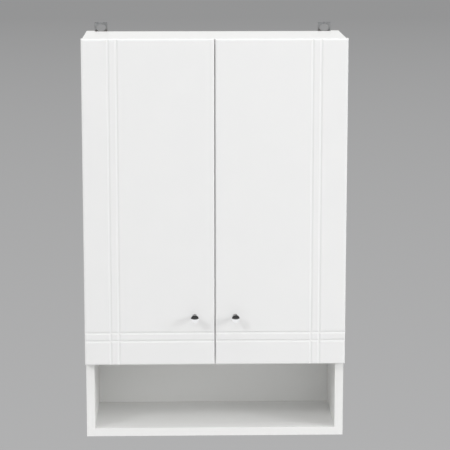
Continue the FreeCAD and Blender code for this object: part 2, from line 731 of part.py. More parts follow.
# ---------------------------------------------------------------- the cabinet
for panel_name, panel_height in CROSS_PANELS.items():
    cross_panel(panel_name, panel_height)
back_panel()
nails()
carcass_screws()
shelf_pins()
for shelf_name, shelf_step in SHELF_STEPS.items():
    shelf(shelf_name, shelf_step)
for side_name, side_sign in SIDES.items():
    side_panel(side_name, side_sign)
    hanger(side_name, side_sign)
    door(side_name, side_sign)
    knob(side_name, side_sign)
    bumpers(side_name, side_sign)
    for hinge_name, hinge_height in HINGES.items():
        hinge(side_name, side_sign, hinge_name, hinge_height)
hanger_screws()
hinge_screws()
doc.recompute()

# ---------------------------------------------------------------- checks and export
for item in doc.Objects:
    if "Invalid" in item.State or "Error" in item.State:
        raise ValueError(f"{item.Name} ({item.Label}) is {item.State}")
for item in subparts:
    if item.Shape.isNull() or not item.Shape.isValid():
        raise ValueError(f"{item.Label} has no valid shape")

os.makedirs("parts", exist_ok=True)
for item in subparts:
    item.Shape.exportStep(f"parts/{item.Label}.step")
print(len(subparts), "sub-parts written")
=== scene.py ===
"""Looks of the hanging wall cabinet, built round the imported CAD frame. Metres, +Y into the wall, +Z up."""
import math

import bmesh
import bpy
import numpy as np

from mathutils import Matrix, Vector

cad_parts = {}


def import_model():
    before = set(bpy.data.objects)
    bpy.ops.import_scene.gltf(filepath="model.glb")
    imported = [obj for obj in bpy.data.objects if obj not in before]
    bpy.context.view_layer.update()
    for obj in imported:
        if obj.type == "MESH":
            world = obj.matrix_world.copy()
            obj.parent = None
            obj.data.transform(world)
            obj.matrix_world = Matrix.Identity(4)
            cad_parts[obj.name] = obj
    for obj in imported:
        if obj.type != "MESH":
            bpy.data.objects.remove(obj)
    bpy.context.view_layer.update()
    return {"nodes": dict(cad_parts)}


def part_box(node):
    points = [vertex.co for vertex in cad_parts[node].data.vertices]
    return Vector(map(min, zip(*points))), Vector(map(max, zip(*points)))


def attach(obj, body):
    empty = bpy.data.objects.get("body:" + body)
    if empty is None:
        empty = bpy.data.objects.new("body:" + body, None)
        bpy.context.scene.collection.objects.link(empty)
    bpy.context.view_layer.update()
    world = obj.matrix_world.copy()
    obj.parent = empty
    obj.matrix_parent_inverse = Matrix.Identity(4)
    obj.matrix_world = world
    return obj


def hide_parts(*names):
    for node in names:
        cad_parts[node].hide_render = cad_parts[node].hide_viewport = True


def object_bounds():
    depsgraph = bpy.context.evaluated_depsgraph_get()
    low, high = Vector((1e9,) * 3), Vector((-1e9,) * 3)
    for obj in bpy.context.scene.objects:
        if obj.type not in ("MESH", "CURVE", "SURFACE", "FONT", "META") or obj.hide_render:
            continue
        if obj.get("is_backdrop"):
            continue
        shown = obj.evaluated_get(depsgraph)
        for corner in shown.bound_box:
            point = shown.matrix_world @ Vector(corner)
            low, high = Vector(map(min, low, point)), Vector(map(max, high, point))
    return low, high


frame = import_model()

MM = 0.001
SIDES = {"left": -1, "right": 1}
SHARP = math.radians(32)
FLAT = math.radians(0.5)                   # faces that lean less than this become one
BEVELLED = math.radians(40)                # edges sharper than this are rounded
TURN = 2 * math.pi
RAW_BAND = 0.2 * MM                        # half the band where white ends and the raw board starts
WELD = 2e-6                                # points nearer than this become one
CAD_WELD = 1e-6


# ---------------------------------------------------------------- node materials
class Finish:
    """A node material with a Principled shader and short ways to add patterns to it."""

    def __init__(self, name, colour, roughness, metallic=0.0, **sockets):
        self.material = bpy.data.materials.new(name)
        self.material.use_nodes = True
        self.nodes = self.material.node_tree.nodes
        self.links = self.material.node_tree.links
        self.shader = self.nodes["Principled BSDF"]
        self.set(self.shader, "Base Color", (*colour, 1.0))
        self.set(self.shader, "Roughness", roughness)
        self.set(self.shader, "Metallic", metallic)
        for socket, number in sockets.items():
            self.set(self.shader, socket.replace("_", " "), number)
        self.place = self.nodes.new("ShaderNodeTexCoord").outputs["Object"]

    def set(self, node, socket, number):
        """Sets an unlinked socket of a node."""
        node.inputs[socket].default_value = number

    def add(self, kind, **settings):
        """A node of the given kind; names in capitals with spaces as underscores are its sockets."""
        node = self.nodes.new(kind)
        for name, setting in settings.items():
            if name[0].isupper():
                self.set(node, name.replace("_", " "), setting)
            else:
                setattr(node, name, setting)
        return node

    def join(self, start, end):
        """Links an output socket to an input socket."""
        self.links.new(start, end)

    def noise(self, scale, detail=4.0, roughness=0.55, stretch=(1, 1, 1)):
        """Fractal noise with about that many blobs to the metre, stretched by axis."""
        mapping = self.add("ShaderNodeMapping", Scale=stretch)
        self.join(self.place, mapping.inputs["Vector"])
        node = self.add("ShaderNodeTexNoise", Scale=scale, Detail=detail, Roughness=roughness)
        self.join(mapping.outputs["Vector"], node.inputs["Vector"])
        return node.outputs["Fac"]

    def cells(self, scale, randomness=1.0):
        """Irregular cells, about that many to the metre."""
        node = self.add("ShaderNodeTexVoronoi", Scale=scale, Randomness=randomness)
        self.join(self.place, node.inputs["Vector"])
        return node

    def span(self, source, low, high, start=0.0, end=1.0):
        """The source stretched from its range start..end to low..high."""
        node = self.add("ShaderNodeMapRange", From_Min=start, From_Max=end, To_Min=low, To_Max=high)
        self.join(source, node.inputs["Value"])
        return node.outputs["Result"]

    def blend(self, amount, first, second):
        """Colour first where amount is 0 and second where it is 1; either may be a socket."""
        node = self.add("ShaderNodeMix", data_type="RGBA")
        self.join(amount, node.inputs["Factor"])
        for socket, colour in ((node.inputs[6], first), (node.inputs[7], second)):
            if isinstance(colour, tuple):
                socket.default_value = (*colour, 1.0)
            else:
                self.join(colour, socket)
        return node.outputs[2]

    def colour(self, source):
        """Gives the shader its base colour from a socket."""
        self.join(source, self.shader.inputs["Base Color"])

    def roughness(self, source):
        """Gives the shader its roughness from a socket."""
        self.join(source, self.shader.inputs["Roughness"])

    def bump(self, source, height, strength):
        """Surface relief of that height in metres; calls stack."""
        node = self.add("ShaderNodeBump", Strength=strength, Distance=height)
        self.join(source, node.inputs["Height"])
        earlier = self.shader.inputs["Normal"].links
        if earlier:
            self.join(earlier[0].from_socket, node.inputs["Normal"])
        self.join(node.outputs["Normal"], self.shader.inputs["Normal"])

    def behind(self, depth):
        """1 where Y is past depth and 0 in front of it, with a narrow band between."""
        node = self.add("ShaderNodeSeparateXYZ")
        self.join(self.place, node.inputs["Vector"])
        return self.span(node.outputs["Y"], 0.0, 1.0, depth - RAW_BAND, depth + RAW_BAND)

    def mix_value(self, amount, first, second):
        """Number first where amount is 0 and second where it is 1; either may be a socket."""
        node = self.add("ShaderNodeMix", data_type="FLOAT")
        self.join(amount, node.inputs["Factor"])
        for socket, number in ((node.inputs[2], first), (node.inputs[3], second)):
            if isinstance(number, (int, float)):
                socket.default_value = number
            else:
                self.join(number, socket)
        return node.outputs[0]


def chip_core(finish):
    """Raw chipboard: tan flakes of several sizes with darker specks. Returns a colour and a relief."""
    flakes = finish.cells(520)
    coarse = finish.noise(260, detail=6)
    tan = finish.blend(finish.span(coarse, 0.0, 1.0, 0.35, 0.65), (0.36, 0.25, 0.15), (0.60, 0.46, 0.31))
    speck = finish.span(flakes.outputs["Distance"], 1.0, 0.0, 0.12, 0.5)
    return finish.blend(finish.span(speck, 0.0, 0.6), tan, (0.20, 0.13, 0.08)), coarse


def melamine(name, colour, raw_behind=None):
    """White melamine face with a fine pearl texture; rear edges past raw_behind are bare chipboard."""
    finish = Finish(name, colour, 0.42, Specular_IOR_Level=0.5)
    pearl = finish.noise(2600, detail=2)
    cloud = finish.noise(9, detail=3)
    pale = finish.blend(finish.span(cloud, 0.0, 1.0, 0.3, 0.7), colour, tuple(c * 0.985 for c in colour))
    sheen = finish.span(pearl, 0.37, 0.47, 0.3, 0.7)
    if raw_behind is None:
        finish.colour(pale)
        finish.roughness(sheen)
    else:
        raw = finish.behind(raw_behind)
        core, grain = chip_core(finish)
        finish.colour(finish.blend(raw, pale, core))
        finish.roughness(finish.mix_value(raw, sheen, 0.85))
        finish.bump(finish.mix_value(raw, 0.5, grain), 0.0006, 0.8)
    finish.bump(pearl, 0.00005, 0.25)
    return finish.material


def door_foil():
    """Satin white foil over fibreboard: a very fine leathery texture and a faint wave of the board."""
    colour = (0.85, 0.85, 0.847)
    finish = Finish("satin_white_foil", colour, 0.34, Specular_IOR_Level=0.5)
    fine = finish.noise(3200, detail=3)
    wave = finish.noise(14, detail=1)
    finish.colour(finish.blend(finish.span(wave, 0.0, 1.0, 0.3, 0.7), colour, (0.842, 0.843, 0.841)))
    finish.roughness(finish.span(fine, 0.30, 0.39, 0.3, 0.7))
    finish.bump(fine, 0.00004, 0.3)
    finish.bump(wave, 0.0006, 0.12)
    return finish.material


def hardboard(split):
    """White lacquer on the face inside the cabinet, bare brown hardboard on the face to the wall."""
    white, brown = (0.87, 0.872, 0.86), (0.27, 0.165, 0.095)
    finish = Finish("lacquered_hardboard", white, 0.5)
    raw = finish.behind(split)
    fibre = finish.noise(420, detail=8, roughness=0.7)
    mesh_dents = finish.cells(700, randomness=0.25)
    board = finish.blend(finish.span(fibre, 0.0, 1.0, 0.3, 0.7), brown, (0.36, 0.235, 0.14))
    finish.colour(finish.blend(raw, white, board))
    finish.roughness(finish.mix_value(raw, 0.48, finish.span(fibre, 0.75, 0.9)))
    finish.bump(finish.mix_value(raw, 0.5, mesh_dents.outputs["Distance"]), 0.0005, 0.7)
    finish.bump(finish.noise(900, detail=2), 0.00006, 0.3)
    return finish.material


def chrome():
    """Polished chrome with the faintest haze and a few hairline scratches."""
    finish = Finish("polished_chrome", (0.90, 0.905, 0.91), 0.07, metallic=1.0)
    haze = finish.noise(180, detail=5)
    finish.roughness(finish.span(haze, 0.05, 0.12, 0.3, 0.7))
    finish.bump(finish.noise(900, detail=1, stretch=(1, 8, 1)), 0.00001, 0.2)
    return finish.material


def pressed_nickel(name="pressed_nickel", colour=(0.70, 0.69, 0.66), low=0.26, high=0.40):
    """Nickel-plated pressed steel with soft rolling marks."""
    finish = Finish(name, colour, (low + high) / 2, metallic=0.82)
    marks = finish.noise(700, detail=4, stretch=(1, 1, 0.08))
    finish.roughness(finish.span(marks, low, high, 0.3, 0.7))
    finish.bump(marks, 0.00003, 0.3)
    return finish.material


def galvanised():
    """Dull galvanised sheet: crystal patches that differ in tone and in roughness."""
    finish = Finish("galvanised_sheet", (0.47, 0.48, 0.49), 0.45, metallic=0.85)
    patches = finish.cells(240)
    tone = finish.span(patches.outputs["Color"], 0.0, 1.0)
    finish.colour(finish.blend(tone, (0.38, 0.39, 0.40), (0.56, 0.57, 0.58)))
    finish.roughness(finish.span(tone, 0.38, 0.58))
    finish.bump(finish.noise(1500, detail=3), 0.00004, 0.4)
    return finish.material


def cap_plastic():
    """White moulded plastic with a fine spark texture."""
    finish = Finish("moulded_white_plastic", (0.82, 0.82, 0.81), 0.38)
    spark = finish.noise(3500, detail=2)
    finish.roughness(finish.span(spark, 0.34, 0.46, 0.3, 0.7))
    finish.bump(spark, 0.00004, 0.35)
    return finish.material


def soft_polymer():
    """Clear soft polymer of the door bumpers."""
    finish = Finish("clear_soft_polymer", (0.88, 0.89, 0.88), 0.3, Transmission_Weight=0.7, IOR=1.45)
    cloud = finish.noise(800, detail=3)
    finish.roughness(finish.span(cloud, 0.25, 0.4, 0.3, 0.7))
    return finish.material


# ---------------------------------------------------------------- meshes
def grid_faces(rows, columns, closed=False):
    """Quads of a rows by columns grid of points; closed joins the last column to the first."""
    index = np.arange(rows * columns).reshape(rows, columns)
    if closed:
        index = np.concatenate([index, index[:, :1]], axis=1)
    corners = (index[:-1, :-1], index[:-1, 1:], index[1:, 1:], index[1:, :-1])
    return np.stack(corners, axis=-1).reshape(-1, 4)


def welded(parts):
    """Several (points, quads) surfaces as one list of points and one of faces."""
    points, faces, count = [], [], 0
    for part_points, part_faces in parts:
        points.append(part_points)
        faces.append(part_faces + count)
        count += len(part_points)
    return np.concatenate(points), np.concatenate(faces)


def smooth_by_angle(mesh):
    """Smooth shading, with edges sharper than SHARP left hard."""
    mesh.polygons.foreach_set("use_smooth", np.ones(len(mesh.polygons), dtype=bool))
    mesh.set_sharp_from_angle(angle=SHARP)


def closed_mesh(name, points, faces):
    """A mesh with its doubles merged, its holes capped and its faces turned outwards."""
    mesh = bpy.data.meshes.new(name)
    mesh.from_pydata(points.tolist(), [], faces.tolist())
    shape = bmesh.new()
    shape.from_mesh(mesh)
    bmesh.ops.remove_doubles(shape, verts=shape.verts, dist=WELD)
    bmesh.ops.dissolve_degenerate(shape, dist=WELD / 2, edges=shape.edges)
    bmesh.ops.holes_fill(shape, edges=shape.edges, sides=0)
    bmesh.ops.recalc_face_normals(shape, faces=shape.faces)
    shape.to_mesh(mesh)
    shape.free()
    smooth_by_angle(mesh)
    return mesh


def piece(name, mesh, material, body, nodes):
    """An object for the mesh that rides on a CAD body and stands for the CAD nodes."""
    thing = bpy.data.objects.new(name, mesh)
    bpy.context.scene.collection.objects.link(thing)
    thing.data.materials.clear()
    thing.data.materials.append(material)
    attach(thing, body)
    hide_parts(*nodes)
    return thing


def softened(node, material, body, width, segments=2):
    """The CAD node's own shape with its doubles merged and its edges slightly rounded."""
    shape = bmesh.new()
    shape.from_mesh(frame["nodes"][node].data)
    bmesh.ops.remove_doubles(shape, verts=shape.verts, dist=CAD_WELD)
    bmesh.ops.dissolve_limit(shape, angle_limit=FLAT, verts=shape.verts, edges=shape.edges)
    mesh = bpy.data.meshes.new(f"{node}_soft")
    shape.to_mesh(mesh)
    shape.free()
    smooth_by_angle(mesh)
    thing = piece(f"{node}_soft", mesh, material, body, [node])
    bevel = thing.modifiers.new("edge", "BEVEL")
    bevel.limit_method = "ANGLE"
    bevel.angle_limit = BEVELLED
    bevel.width = width
    bevel.segments = segments
    bevel.use_clamp_overlap = True
    return thing


def axis_frame(direction):
    """Two unit vectors across a unit direction, so that the three are right-handed."""
    direction = np.asarray(direction, float)
    helper = np.array([0.0, 0.0, 1.0]) if abs(direction[2]) < 0.9 else np.array([1.0, 0.0, 0.0])
    first = np.cross(helper, direction)
    first /= np.linalg.norm(first)
    return first, np.cross(direction, first)


def turned(profile, centre, direction, count):
    """A surface of revolution: each (radius, along) of the profile goes round the axis in count steps."""
    profile = np.asarray(profile, float)
    angle = np.linspace(0, TURN, count, endpoint=False)
    first, second = axis_frame(direction)
    ring = np.cos(angle)[:, None] * first + np.sin(angle)[:, None] * second
    points = (np.asarray(centre, float)
              + profile[:, 0, None, None] * ring[None]
              + profile[:, 1, None, None] * np.asarray(direction, float))
    return points.reshape(-1, 3), grid_faces(len(profile), count, closed=True)


def arc(centre, radius, start, end, count):
    """Profile points on a circle about centre (radius, along), from angle start to end in degrees."""
    angle = np.radians(np.linspace(start, end, count))
    return np.stack([centre[0] + radius * np.cos(angle), centre[1] + radius * np.sin(angle)], axis=1)


# ---------------------------------------------------------------- doors
DOOR_ROUND = 3.5 * MM
GROOVE_WIDTH = 5.5 * MM
GROOVE_SINK = 1.3 * MM
GROOVE_OUTER = 50.5 * MM
GROOVE_LOWER = 47.5 * MM
GROOVE_PITCH = 16 * MM
CUP_RADIUS = 17.6 * MM
CUP_SINK = 12.05 * MM
BACK_EASE = 0.4 * MM                       # small chamfer round the door's back
GROOVE_BLEND = 0.15 * MM                   # band in which the edge runs into a groove


def groove_profile(offset):
    """Depth of a coved groove at an offset from its middle: a raised cosine with soft shoulders."""
    reach = 0.62 * GROOVE_WIDTH
    swell = 0.5 + 0.5 * np.cos(np.pi * np.clip(offset / reach, -1, 1))
    return GROOVE_SINK * swell ** 0.8


def edge_profile(distance):
    """Depth of the rounded front edge at a distance from the door's outline: a quarter circle."""
    inside = np.clip(DOOR_ROUND - distance, 0, DOOR_ROUND)
    return DOOR_ROUND - np.sqrt(DOOR_ROUND ** 2 - inside ** 2)


def soft_max(first, second, blend):
    """The larger of two depths, rounded over a band of the blend width."""
    gap = first - second
    return 0.5 * (first + second + np.sqrt(gap ** 2 + blend ** 2)) - 0.5 * blend


def sample_lines(length, grooves):
    """Places along a side: dense at the rounded edges and grooves, sparse between them."""
    edge = DOOR_ROUND * (1 - np.cos(np.linspace(0, math.pi / 2, 9)))
    lines = [edge, length - edge, np.linspace(2 * DOOR_ROUND, length - 2 * DOOR_ROUND, 24)]
    for middle in grooves:
        lines.append(middle + np.linspace(-0.7, 0.7, 19) * GROOVE_WIDTH)
    merged = np.unique(np.round(np.concatenate(lines), 6))
    keep = np.concatenate([[True], np.diff(merged) > 1.5e-4])
    keep[-1] = True
    return merged[keep]


def door_leaf(side, sign, material):
    """A door: a height field for its front, straight sides and a flat back with eased edges.

    The depth at each point of the front is the larger of the edge's quarter circle and the crossing
    cosine grooves. Round bores for the hinge cups are cut into the back.
    """
    node = f"door_{side}"
    body = f"door_{side}_body"
    low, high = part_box(node)
    width, height = high.x - low.x, high.z - low.z
    from_hinge = [GROOVE_OUTER, GROOVE_OUTER + GROOVE_PITCH]
    upright = from_hinge if sign < 0 else [width - offset for offset in from_hinge]
    level = [GROOVE_LOWER, GROOVE_LOWER + GROOVE_PITCH]
    across = sample_lines(width, upright)
    up = sample_lines(height, level)
    grid_x, grid_z = np.meshgrid(across, up)
    edge_x = edge_profile(np.minimum(grid_x, width - grid_x))
    edge_z = edge_profile(np.minimum(grid_z, height - grid_z))
    depth = np.maximum(edge_x, edge_z)
    groove = np.maximum.reduce([groove_profile(grid_x - middle) for middle in upright]
                               + [groove_profile(grid_z - middle) for middle in level])
    depth = np.maximum(soft_max(depth, groove, GROOVE_BLEND), 0)
    front = np.stack([low.x + grid_x, low.y + depth, low.z + grid_z], axis=-1)
    rows, columns = grid_x.shape
    rim = np.concatenate([front[0], front[1:, -1], front[-1, -2::-1], front[-2:0:-1, 0]])
    skirt = np.stack([rim, rim * (1, 0, 1) + (0, high.y - BACK_EASE, 0)])
    inset = rim * (1, 0, 1) + (0, high.y, 0)
    centre = np.array([(low.x + high.x) / 2, 0, (low.z + high.z) / 2])
    inset = inset - np.sign(inset - centre) * (BACK_EASE, 0, BACK_EASE)
    skirt = np.concatenate([skirt, inset[None]])
    parts = [(front.reshape(-1, 3), grid_faces(rows, columns)),
             (skirt.reshape(-1, 3), grid_faces(3, len(rim), closed=True))]
    mesh = closed_mesh(f"{node}_leaf", *welded(parts))
    leaf = piece(f"{node}_leaf", mesh, material, body, [node])
    for level_name in ("lower", "upper"):
        cup_low, cup_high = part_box(f"hinge_cup_{side}_{level_name}")
        centre = ((cup_low.x + cup_high.x) / 2, high.y, (cup_low.z + cup_high.z) / 2)
        bore(leaf, centre, CUP_RADIUS, CUP_SINK)
    smooth_by_angle(leaf.data)
    return leaf


def bore(thing, centre, radius, depth):
    """Cuts a round blind hole of that depth into the thing's back, at a centre on its surface."""
    profile = [(0, -depth), (radius, -depth), (radius, MM), (0, MM)]
    cutter_mesh = closed_mesh("cutter", *turned(profile, centre, (0, 1, 0), 72))
    cutter = bpy.data.objects.new("cutter", cutter_mesh)
    bpy.context.scene.collection.objects.link(cutter)
    cut = thing.modifiers.new("bore", "BOOLEAN")
    cut.operation = "DIFFERENCE"
    cut.solver = "EXACT"
    cut.object = cutter
    bpy.context.view_layer.update()
    evaluated = thing.evaluated_get(bpy.context.evaluated_depsgraph_get())
    mesh = bpy.data.meshes.new_from_object(evaluated)
    thing.modifiers.clear()
    thing.data = mesh
    bpy.data.objects.remove(cutter)


# ---------------------------------------------------------------- knobs and fasteners
FOOT_RADIUS = 5.5 * MM
FOOT_ROLL = 0.5 * MM                       # rolled rim of the foot
STEM_RADIUS = 3.3 * MM
STEM_COVE = 2.1 * MM                       # cove from the foot up to the stem
WAIST_END = 9 * MM                         # where the stem starts to flare
FLARE_END = 14.5 * MM
HEAD_ROLL = 1.3 * MM                       # rolled rim of the head
CAP_LEAN = math.radians(36)                # slope of the cap where it meets the rim


def knob(side, material):
    """A turned knob: a foot with a rolled rim, a waisted stem and a shallow cap, as one profile.

    The stem flares to the head along a quarter of an ellipse. The cap is part of a circle that
    leans by CAP_LEAN where it meets the rolled rim of the head.
    """
    node = f"knob_{side}"
    low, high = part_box(node)
    head = (high.x - low.x) / 2
    reach = high.y - low.y
    waist = STEM_RADIUS * 1.02
    profile = [(0, 0), (FOOT_RADIUS * 0.97, 0)]
    profile += arc((FOOT_RADIUS - FOOT_ROLL, 0.7 * MM), FOOT_ROLL, -40, 60, 6).tolist()
    profile += arc((STEM_RADIUS + STEM_COVE, 4.4 * MM), STEM_COVE, 235, 180, 7).tolist()
    profile += [(STEM_RADIUS, 6.5 * MM), (waist, WAIST_END)]
    sweep = np.linspace(0, math.pi / 2, 9)[1:]
    flare = np.stack([waist + (head * 0.93 - waist) * (1 - np.cos(sweep)),
                      WAIST_END + (FLARE_END - WAIST_END) * np.sin(sweep)], axis=1)
    profile += flare.tolist()
    cap = (head - HEAD_ROLL + HEAD_ROLL * math.sin(CAP_LEAN)) / math.sin(CAP_LEAN)
    shoulder = reach - cap * (1 - math.cos(CAP_LEAN))
    rim_centre = (head - HEAD_ROLL, shoulder - HEAD_ROLL * math.cos(CAP_LEAN))
    profile += arc(rim_centre, HEAD_ROLL, -35, 90 - math.degrees(CAP_LEAN), 9).tolist()
    tilt = np.linspace(CAP_LEAN, 0, 14)[1:]
    profile += np.stack([cap * np.sin(tilt), reach - cap * (1 - np.cos(tilt))], axis=1).tolist()
    centre = ((low.x + high.x) / 2, high.y, (low.z + high.z) / 2)
    mesh = closed_mesh(f"{node}_turned", *turned(profile, centre, (0, -1, 0), 96))
    return piece(f"{node}_turned", mesh, material, f"door_{side}_body", [node])


def screw(head_centre, direction, head_radius, head_height, shank_radius, shank_length):
    """A pan-head screw seen from outside: a domed head with a cross recess over a plain shank.

    The head is a polar grid whose height is a flattened dome less a recess: the recess is a plus shape
    of two tapering slots. direction points out of the head; the shank runs the other way.
    """
    rings, count = 18, 48
    radius = np.linspace(1, 0, rings) * head_radius
    angle = np.linspace(0, TURN, count, endpoint=False)
    grid_r, grid_a = np.meshgrid(radius, angle, indexing="ij")
    share = grid_r / head_radius
    dome = head_height * (1 - share ** 3.2)
    across, along = grid_r * np.cos(grid_a), grid_r * np.sin(grid_a)
    half, reach = 0.13 * head_radius, 0.58 * head_radius

    def slot(width_at, length_at):
        side_wall = np.clip((half - np.abs(width_at)) / (0.5 * half) + 0.5, 0, 1)
        end_wall = np.clip((reach - np.abs(length_at)) / (0.25 * reach), 0, 1)
        return side_wall * end_wall

    recess = np.maximum(slot(across, along), slot(along, across)) * head_height * 0.75
    height = dome - recess
    first, second = axis_frame(direction)
    out = np.asarray(direction, float)
    centre = np.asarray(head_centre, float)
    top = centre + across[..., None] * first + along[..., None] * second + height[..., None] * out
    shank_profile = [(head_radius, 0), (shank_radius, 0), (shank_radius, -shank_length), (0, -shank_length)]
    shank = turned(shank_profile, centre, out, count)
    return welded([(top.reshape(-1, 3), grid_faces(rings, count, closed=True)), shank])


def islands(node):
    """The separate solids of a CAD node, as arrays of points.

    Points at one place share a number. The smaller number of each edge's two ends then spreads
    along the edges until none changes, so that each solid ends with one number of its own.
    """
    mesh = frame["nodes"][node].data
    points = np.empty(len(mesh.vertices) * 3, dtype=np.float32)
    mesh.vertices.foreach_get("co", points)
    points = points.reshape(-1, 3).astype(float)
    edges = np.empty(len(mesh.edges) * 2, dtype=np.int32)
    mesh.edges.foreach_get("vertices", edges)
    _, first, place = np.unique(np.round(points, 6), axis=0, return_index=True, return_inverse=True)
    shared = first[place.ravel()]
    ends = shared[edges].reshape(-1, 2)
    number = np.arange(len(points))
    settled = False
    while not settled:
        smaller = number[ends].min(axis=1)
        spread = number.copy()
        np.minimum.at(spread, ends[:, 0], smaller)
        np.minimum.at(spread, ends[:, 1], smaller)
        settled = np.array_equal(spread, number)
        number = spread
    solid_of = number[shared]
    return [points[solid_of == solid] for solid in np.unique(solid_of)]


SHANK_RADIUS = 2 * MM
THIN = 2 * MM                              # a round piece shorter than this is a disc


def screw_set(node, body, material, direction_of, head_radius=3.6 * MM, head_height=1.8 * MM):
    """Screws in the places of a node's solids; direction_of(centre) points out of each head."""
    parts = []
    for solid in islands(node):
        low, high = solid.min(0), solid.max(0)
        middle = (low + high) / 2
        out = np.asarray(direction_of(middle), float)
        length = float(np.abs(out) @ (high - low))
        tip = middle + out * length / 2
        parts.append(screw(tip - out * head_height, out, head_radius, head_height,
                           SHANK_RADIUS, length - head_height))
    mesh = closed_mesh(f"{node}_turned", *welded(parts))
    return piece(f"{node}_turned", mesh, material, body, [node])


def inward(centre):
    """From a side panel towards the middle of the cabinet."""
    return (-math.copysign(1, centre[0]), 0, 0)


def outward(centre):
    """From the middle of the cabinet towards a side panel."""
    return (math.copysign(1, centre[0]), 0, 0)


def backward(centre):
    """From a shut door into the cabinet."""
    return (0, 1, 0)


def round_set(node, body, material, profile_of, direction_of):
    """Turned pieces in the places of a node's solids, standing on the end away from direction_of."""
    parts = []
    for solid in islands(node):
        low, high = solid.min(0), solid.max(0)
        middle = (low + high) / 2
        out = np.asarray(direction_of(middle), float)
        length = float(np.abs(out) @ (high - low))
        spans = np.sort(high - low)
        radius = float((spans[-1] if length < THIN else spans[0]) / 2)
        foot = middle - out * length / 2
        parts.append(turned(profile_of(radius, length), foot, out, 48))
    mesh = closed_mesh(f"{node}_turned", *welded(parts))
    return piece(f"{node}_turned", mesh, material, body, [node])


def cap_profile(radius, height):
    """A shallow domed disc with a small rolled rim; the dome is a quarter of an ellipse."""
    rise = np.linspace(0, math.pi / 2, 9)[:-1]
    dome = np.stack([radius * 0.96 * np.cos(rise), height * (0.62 + 0.38 * np.sin(rise))], axis=1)
    rim = [(0, 0), (radius * 0.97, 0), (radius, height * 0.2), (radius, height * 0.45)]
    return rim + dome.tolist() + [(0, height)]


def bumper_profile(radius, height):
    """A soft hemisphere flattened at its top."""
    curve = [(radius * (1 - 0.35 * t ** 2.5), height * t) for t in np.linspace(0, 0.97, 10)]
    return [(0, 0)] + curve + [(radius * 0.55, height), (0, height)]


def peg_profile(radius, length):
    """A peg with chamfered ends."""
    edge = 0.4 * MM
    start = [(0, 0), (radius - edge, 0), (radius, edge)]
    return start + [(radius, length - edge), (radius - edge, length), (0, length)]


# ---------------------------------------------------------------- build
REAR_RAW = -0.9 * MM                       # side panels' bare rear edges
PANEL_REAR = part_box("top_panel")[1].y
BACK_LOW, BACK_HIGH = (corner.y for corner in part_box("back_panel"))
SHELF_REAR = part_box("shelf_upper")[1].y

WHITE = (0.875, 0.875, 0.865)
finishes = {
    "side": melamine("white_melamine_side", WHITE, REAR_RAW),
    "cross": melamine("white_melamine_panel", WHITE, PANEL_REAR - 0.3 * MM),
    "shelf": melamine("white_melamine_shelf", WHITE, SHELF_REAR - 0.3 * MM),
    "foil": door_foil(),
    "hardboard": hardboard(BACK_LOW + 0.7 * (BACK_HIGH - BACK_LOW)),
    "chrome": chrome(),
    "nickel": pressed_nickel(),
    "zinc": galvanised(),
    "screw": pressed_nickel("bright_zinc_screw", (0.74, 0.74, 0.72)),
    "cap": cap_plastic(),
    "bumper": soft_polymer(),
}

for side, sign in SIDES.items():
    door_body = f"door_{side}_body"
    softened(f"side_panel_{side}", finishes["side"], "cabinet", 0.5 * MM, 3)
    softened(f"hanger_bracket_{side}", finishes["zinc"], "cabinet", 0.25 * MM)
    door_leaf(side, sign, finishes["foil"])
    knob(side, finishes["chrome"])
    screw_set(f"knob_screw_{side}", door_body, finishes["screw"], backward, 4 * MM, 2.2 * MM)
    screw_set(f"hinge_cup_screws_{side}", door_body, finishes["screw"], backward)
    round_set(f"door_bumpers_{side}", door_body, finishes["bumper"], bumper_profile, backward)
    for level in ("lower", "upper"):
        tag = f"{side}_{level}"
        softened(f"hinge_cup_{tag}", finishes["nickel"], door_body, 0.2 * MM)
        softened(f"hinge_pin_{tag}", finishes["nickel"], door_body, 0.15 * MM)
        softened(f"hinge_arm_{tag}", finishes["nickel"], "cabinet", 0.3 * MM)
        softened(f"hinge_plate_{tag}", finishes["nickel"], "cabinet", 0.4 * MM)
for panel in ("top_panel", "middle_panel", "bottom_panel"):
    softened(panel, finishes["cross"], "cabinet", 0.4 * MM, 3)
for shelf in ("shelf_lower", "shelf_upper"):
    softened(shelf, finishes["shelf"], "cabinet", 0.5 * MM, 3)
softened("back_panel", finishes["hardboard"], "cabinet", 0.2 * MM)
softened("back_panel_nails", finishes["screw"], "cabinet", 0.15 * MM)
softened("carcass_screws", finishes["screw"], "cabinet", 0.2 * MM)
round_set("screw_cover_caps", "cabinet", finishes["cap"], cap_profile, outward)
round_set("shelf_pins", "cabinet", finishes["nickel"], peg_profile, inward)
for node in ("hinge_plate_screws", "hinge_arm_screws", "hanger_screws"):
    screw_set(node, "cabinet", finishes["screw"], inward)


# ---------------------------------------------------------------- floor, light and camera
def seen_ray(nodes, links, kinds):
    """1 for the given kinds of ray and 0 for the others."""
    path = nodes.new("ShaderNodeLightPath")
    total = path.outputs[kinds[0]]
    for kind in kinds[1:]:
        larger = nodes.new("ShaderNodeMath")
        larger.operation = "MAXIMUM"
        links.new(total, larger.inputs[0])
        links.new(path.outputs[kind], larger.inputs[1])
        total = larger.outputs[0]
    return total


FLOOR_DROP = 1.4                            # floor below the cabinet's underside
FLOOR_SIZE = 60.0
# Painted light: the camera sees the floor partly as a glow in these tones, pale in front and grey far
# behind.
FLOOR_SHADE = 0.75                          # share of plain backdrop tone in the floor
BACKDROP_FAR = (0.235, 0.236, 0.239)
BACKDROP_NEAR = (0.40, 0.401, 0.405)
BACKDROP_FRONT = (0.93, 0.93, 0.935)


